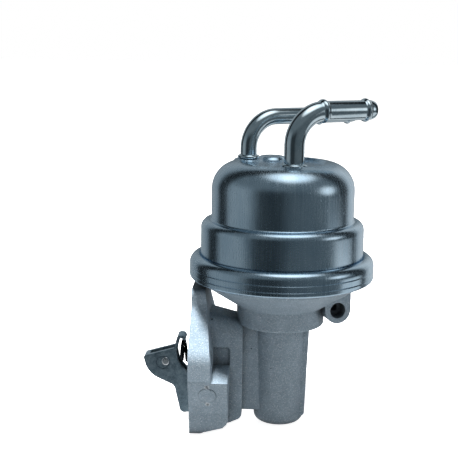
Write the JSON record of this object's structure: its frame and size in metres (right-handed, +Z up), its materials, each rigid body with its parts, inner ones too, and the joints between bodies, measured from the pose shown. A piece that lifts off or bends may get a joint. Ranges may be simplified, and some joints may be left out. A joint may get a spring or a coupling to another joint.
{
  "type": "mechanical fuel pump",
  "caption": "Rocker arm diaphragm fuel pump: plated steel dome with bent hose pipes on a cast body with side-bolted flange, sprung arm, valves and pull rod inside.",
  "frame": {"origin": "middle of the two flange bolt holes, on the mating face", "axes": "-X out of the mating face towards the engine, +Z up along the pump's own axis, +Y away from the inlet pipe, towards the outlet pipe"},
  "size_m": [0.1114, 0.0917, 0.1603],
  "materials": {
    "cast_aluminium": "matte grey die casting",
    "plated_steel": "bright zinc plate over drawn steel",
    "bright_plated_steel": "glossy zinc plate on bent pipe",
    "plain_steel": "plain turned and pressed steel",
    "dark_steel": "dark blue-grey hardened sheet",
    "bright_pin": "bright pin head",
    "black_spring": "black coated spring wire",
    "bronze": "plain bronze",
    "black_rubber": "matte rubber",
    "valve_rubber": "matte fuel-proof rubber",
    "coated_fabric": "rubber-coated fabric"
  },
  "bodies": {
    "housing": {"lower_body": "cast_aluminium", "cover": "plated_steel", "crimp_ring": "plated_steel", "inlet_pipe": "bright_plated_steel", "outlet_pipe": "bright_plated_steel", "cover_seal": "black_rubber", "valve_body": "cast_aluminium", "outlet_cup": "plain_steel", "diaphragm": "coated_fabric", "rod_seal": "black_rubber", "seal_retainer": "plain_steel", "diaphragm_spring": "plain_steel", "pivot_pin": "plain_steel", "pivot_plug_front": "cast_aluminium", "pivot_plug_rear": "cast_aluminium", "return_spring": "black_spring", "inlet_valve_seat": "bronze", "inlet_valve_spring": "plain_steel", "inlet_valve_stem": "bronze", "outlet_valve_seat": "bronze", "outlet_valve_spring": "plain_steel", "outlet_valve_stem": "bronze"},
    "rocker": {"rocker_arm": "dark_steel", "arm_cross_pin": "bright_pin", "pivot_bush": "bronze"},
    "link": {"link_lever": "dark_steel"},
    "diaphragm_rod": {"pull_rod": "plain_steel", "rod_nut": "plain_steel", "rod_collar": "plain_steel", "upper_plate": "plain_steel", "lower_plate": "plain_steel"},
    "inlet_disc": {"inlet_valve_disc": "valve_rubber"},
    "outlet_disc": {"outlet_valve_disc": "valve_rubber"}
  },
  "joints": [
    {"name": "rocker_pivot", "type": "hinge", "parent": "housing", "child": "rocker", "pos_m": [0.0091, 0, -0.0162], "axis": [0, 1, 0], "range_deg": [0, 9], "stiffness_Nm_per_rad": 2, "springref_deg": -2.86, "deforming": ["return_spring"]},
    {"name": "link_pivot", "type": "hinge", "parent": "housing", "child": "link", "pos_m": [0.0091, 0, -0.0162], "axis": [0, 1, 0], "range_deg": [0, 9.1]},
    {"name": "diaphragm_stroke", "type": "slide", "parent": "housing", "child": "diaphragm_rod", "axis": [0, 0, -1], "range_m": [0, 0.0053], "deforming": ["diaphragm_spring", "diaphragm"]},
    {"name": "inlet_valve_lift", "type": "slide", "parent": "housing", "child": "inlet_disc", "axis": [0, 0, -1], "range_m": [0, 0.0012], "stiffness_N_per_m": 20, "springref_m": -0.001, "deforming": ["inlet_valve_spring"]},
    {"name": "outlet_valve_lift", "type": "slide", "parent": "housing", "child": "outlet_disc", "axis": [0, 0, 1], "range_m": [0, 0.0012], "stiffness_N_per_m": 20, "springref_m": -0.001, "deforming": ["outlet_valve_spring"]}
  ],
  "couplings": [
    {"joint": "link_pivot", "follows": "rocker_pivot", "ratio": 1},
    {"joint": "diaphragm_stroke", "follows": "rocker_pivot", "m_per_rad": 0.0334}
  ]
}
